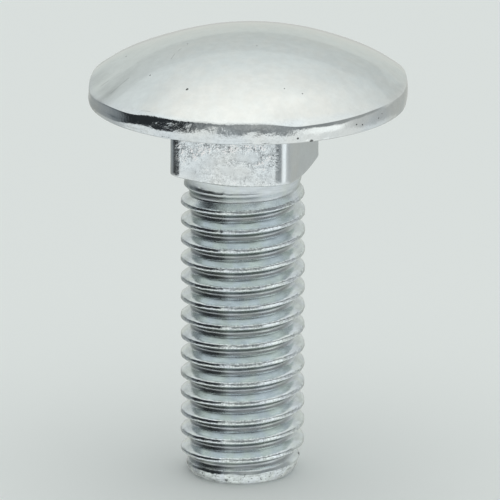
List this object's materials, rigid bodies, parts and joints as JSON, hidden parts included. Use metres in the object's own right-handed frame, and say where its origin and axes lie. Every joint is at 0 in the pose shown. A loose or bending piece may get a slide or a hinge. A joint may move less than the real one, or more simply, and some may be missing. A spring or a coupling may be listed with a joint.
{
  "type": "carriage bolt",
  "caption": "Zinc-plated carriage bolt with a domed head, a square neck that stops it turning and a coarse right-hand thread up to the neck.",
  "frame": {"origin": "on the shank's axis, in the plane of the head's flat bearing face", "axes": "+Z along the shank's axis towards the dome; +X and +Y square to the neck's flats"},
  "size_m": [0.02, 0.02, 0.0287],
  "materials": {
    "zinc_plate": "bright zinc plate, satin"
  },
  "bodies": {
    "root": {"carriage_bolt": "zinc_plate"}
  },
  "joints": []
}
